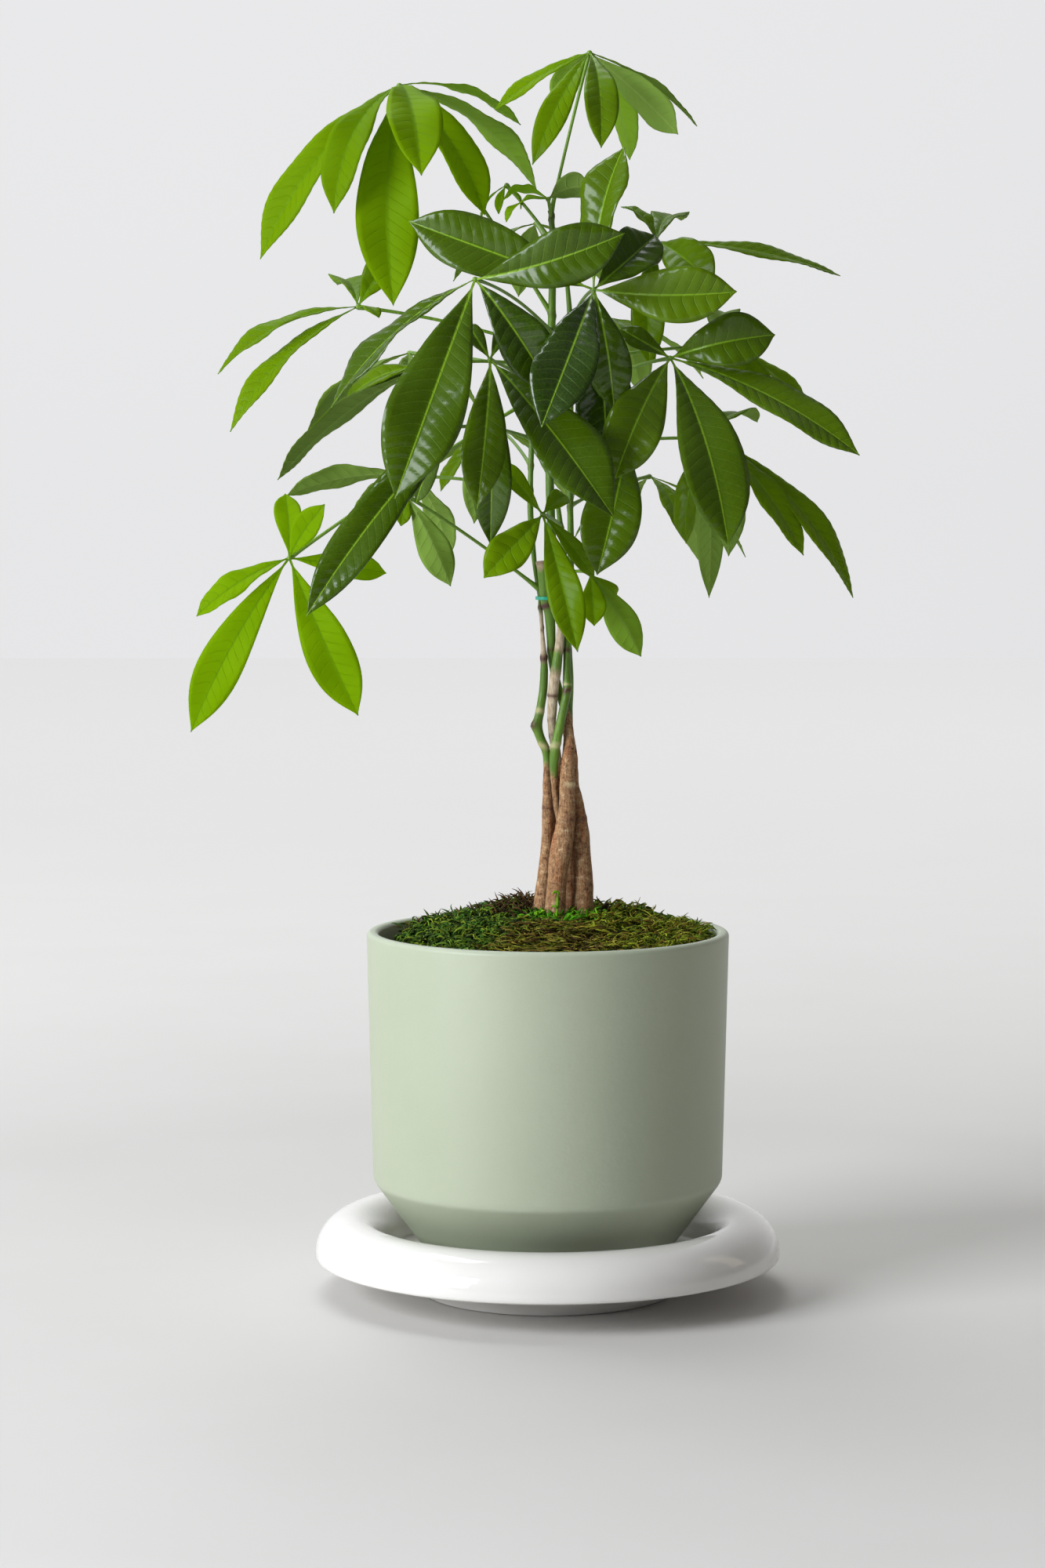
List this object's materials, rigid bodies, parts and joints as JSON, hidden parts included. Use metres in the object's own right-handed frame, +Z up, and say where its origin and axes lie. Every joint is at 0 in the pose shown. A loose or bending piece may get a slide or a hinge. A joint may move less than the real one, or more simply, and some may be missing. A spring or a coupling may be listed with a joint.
{
  "type": "potted money tree",
  "caption": "Potted money tree with a loosely braided trunk, hand-shaped leaves and moss over its soil, in a pot with a chamfered foot on a saucer with a fat round rim.",
  "frame": {"origin": "centre of the saucer's flat foot, on the surface that the plant stands on", "axes": "+Z up along the pot's axis, -Y towards the side that the picture shows, +X to its right"},
  "size_m": [0.3354, 0.2634, 0.6357],
  "materials": {
    "saucer": "gloss",
    "pot": "matte",
    "soil": "matte",
    "moss": "matte",
    "bark": "satin",
    "leaf": "satin",
    "tie": "satin"
  },
  "bodies": {
    "root": {"leaf_back_right": "leaf", "leaf_behind_left": "leaf", "leaf_behind_low": "leaf", "leaf_behind_middle": "leaf", "leaf_behind_right": "leaf", "leaf_behind_top": "leaf", "leaf_far_right": "leaf", "leaf_front_left": "leaf", "leaf_front_middle": "leaf", "leaf_front_right": "leaf", "leaf_glossy_left": "leaf", "leaf_hanging_left": "leaf", "leaf_left": "leaf", "leaf_low_left": "leaf", "leaf_low_middle": "leaf", "leaf_low_right": "leaf", "leaf_lower_right": "leaf", "leaf_middle_left": "leaf", "leaf_right": "leaf", "leaf_round_right": "leaf", "leaf_shaded_left": "leaf", "leaf_top_left": "leaf", "leaf_top_right": "leaf", "leaf_young_left": "leaf", "leaf_young_top": "leaf", "moss_cover": "moss", "pot": "pot", "saucer": "saucer", "soil": "soil", "stem_front": "bark", "stem_left": "bark", "stem_pale": "bark", "stem_right": "bark", "stem_slim": "bark", "tie": "tie"}
  },
  "joints": []
}
